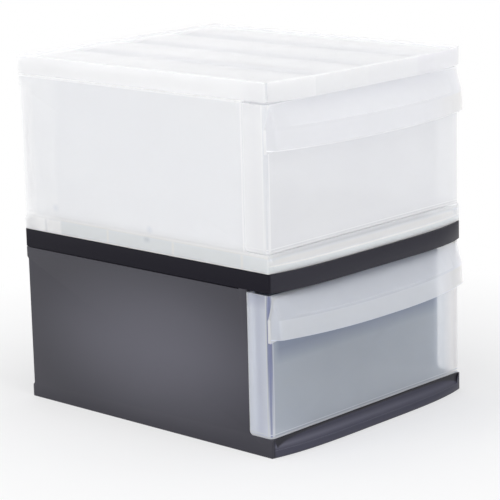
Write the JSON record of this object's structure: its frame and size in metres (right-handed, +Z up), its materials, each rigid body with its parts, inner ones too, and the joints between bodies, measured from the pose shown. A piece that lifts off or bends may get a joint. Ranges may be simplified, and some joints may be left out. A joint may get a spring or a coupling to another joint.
{
  "type": "stackable drawer box",
  "caption": "Stacked plastic drawer boxes: each a casing with a clipped-on ribbed cover and one slide-out drawer with a full-width bowed pull lip.",
  "frame": {"origin": "on the floor, in the middle of the stack's own outline in plan, pull lips included", "axes": "+X to the right along the front, +Y to the back, +Z up; the drawers open along -Y"},
  "size_m": [0.3, 0.376, 0.369],
  "materials": {
    "dark_plastic": "satin anthracite polypropylene",
    "frosted_plastic": "frosted translucent polypropylene, bluish grey over the dark casing",
    "milky_plastic": "milky translucent polypropylene, satin",
    "milky_drawer_plastic": "milky translucent polypropylene, satin"
  },
  "bodies": {
    "lower_box": {"lower_casing": "dark_plastic", "lower_cover": "dark_plastic"},
    "lower_drawer": {"lower_drawer": "frosted_plastic"},
    "upper_box": {"upper_casing": "milky_plastic", "upper_cover": "milky_plastic"},
    "upper_drawer": {"upper_drawer": "milky_drawer_plastic"}
  },
  "joints": [
    {"name": "lower_drawer_slide", "type": "slide", "parent": "lower_box", "child": "lower_drawer", "axis": [0, -1, 0], "range_m": [0, 0.2535]},
    {"name": "upper_box_lift", "type": "slide", "parent": "lower_box", "child": "upper_box", "axis": [0, 0, 1], "range_m": [0, 0.2]},
    {"name": "upper_drawer_slide", "type": "slide", "parent": "upper_box", "child": "upper_drawer", "axis": [0, -1, 0], "range_m": [0, 0.2535]}
  ]
}
